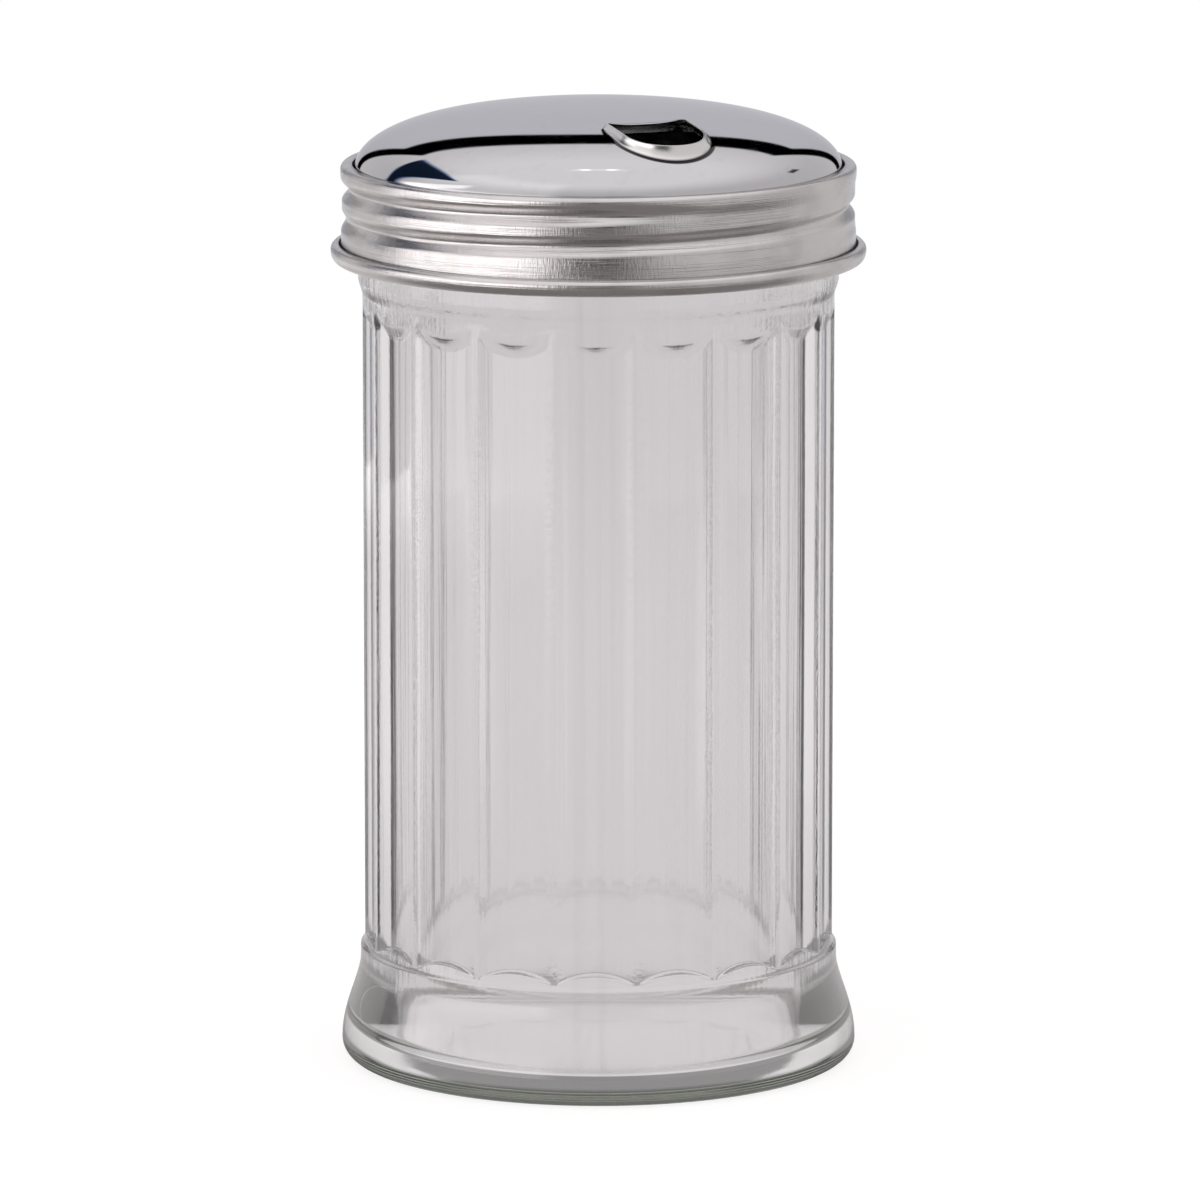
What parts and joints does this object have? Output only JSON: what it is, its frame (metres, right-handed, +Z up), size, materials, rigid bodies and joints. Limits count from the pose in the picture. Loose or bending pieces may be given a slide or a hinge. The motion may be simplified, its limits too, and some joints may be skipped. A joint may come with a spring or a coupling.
{
  "type": "sugar dispenser with flap",
  "caption": "Fluted clear glass sugar dispenser with a steel screw band, a domed cover and a weighted flap that closes the pouring spout.",
  "frame": {"origin": "centre of the standing plane of the jar's foot, on the jar's axis", "axes": "+Z up along the jar's axis; -Y towards the side that pours; +X to the right of the spout seen from the front"},
  "size_m": [0.0766, 0.0766, 0.1383],
  "materials": {
    "glass": "clear pressed glass, smooth",
    "band_steel": "satin stainless steel with fine draw marks",
    "dome_steel": "polished stainless steel",
    "inner_steel": "plain stainless steel sheet and wire"
  },
  "bodies": {
    "jar": {"jar": "glass"},
    "lid": {"dome_cover": "dome_steel", "flap_bracket": "inner_steel", "hinge_pin": "inner_steel"},
    "screw_band": {"screw_band": "band_steel"},
    "flap": {"flap": "inner_steel"}
  },
  "joints": [
    {"name": "lid_lift", "type": "slide", "parent": "jar", "child": "lid", "axis": [0, 0, 1], "range_m": [0, 0.0029]},
    {"name": "band_turn", "type": "hinge", "parent": "lid", "child": "screw_band", "pos_m": [0, 0, 0.1226], "axis": [0, 0, 1], "range_deg": [0, 270]},
    {"name": "flap_swing", "type": "hinge", "parent": "lid", "child": "flap", "pos_m": [0, -0.0168, 0.13554], "axis": [1, 0, 0], "range_deg": [0, 35]}
  ],
  "couplings": [
    {"joint": "lid_lift", "follows": "band_turn", "m_per_rad": 0.00060956}
  ]
}
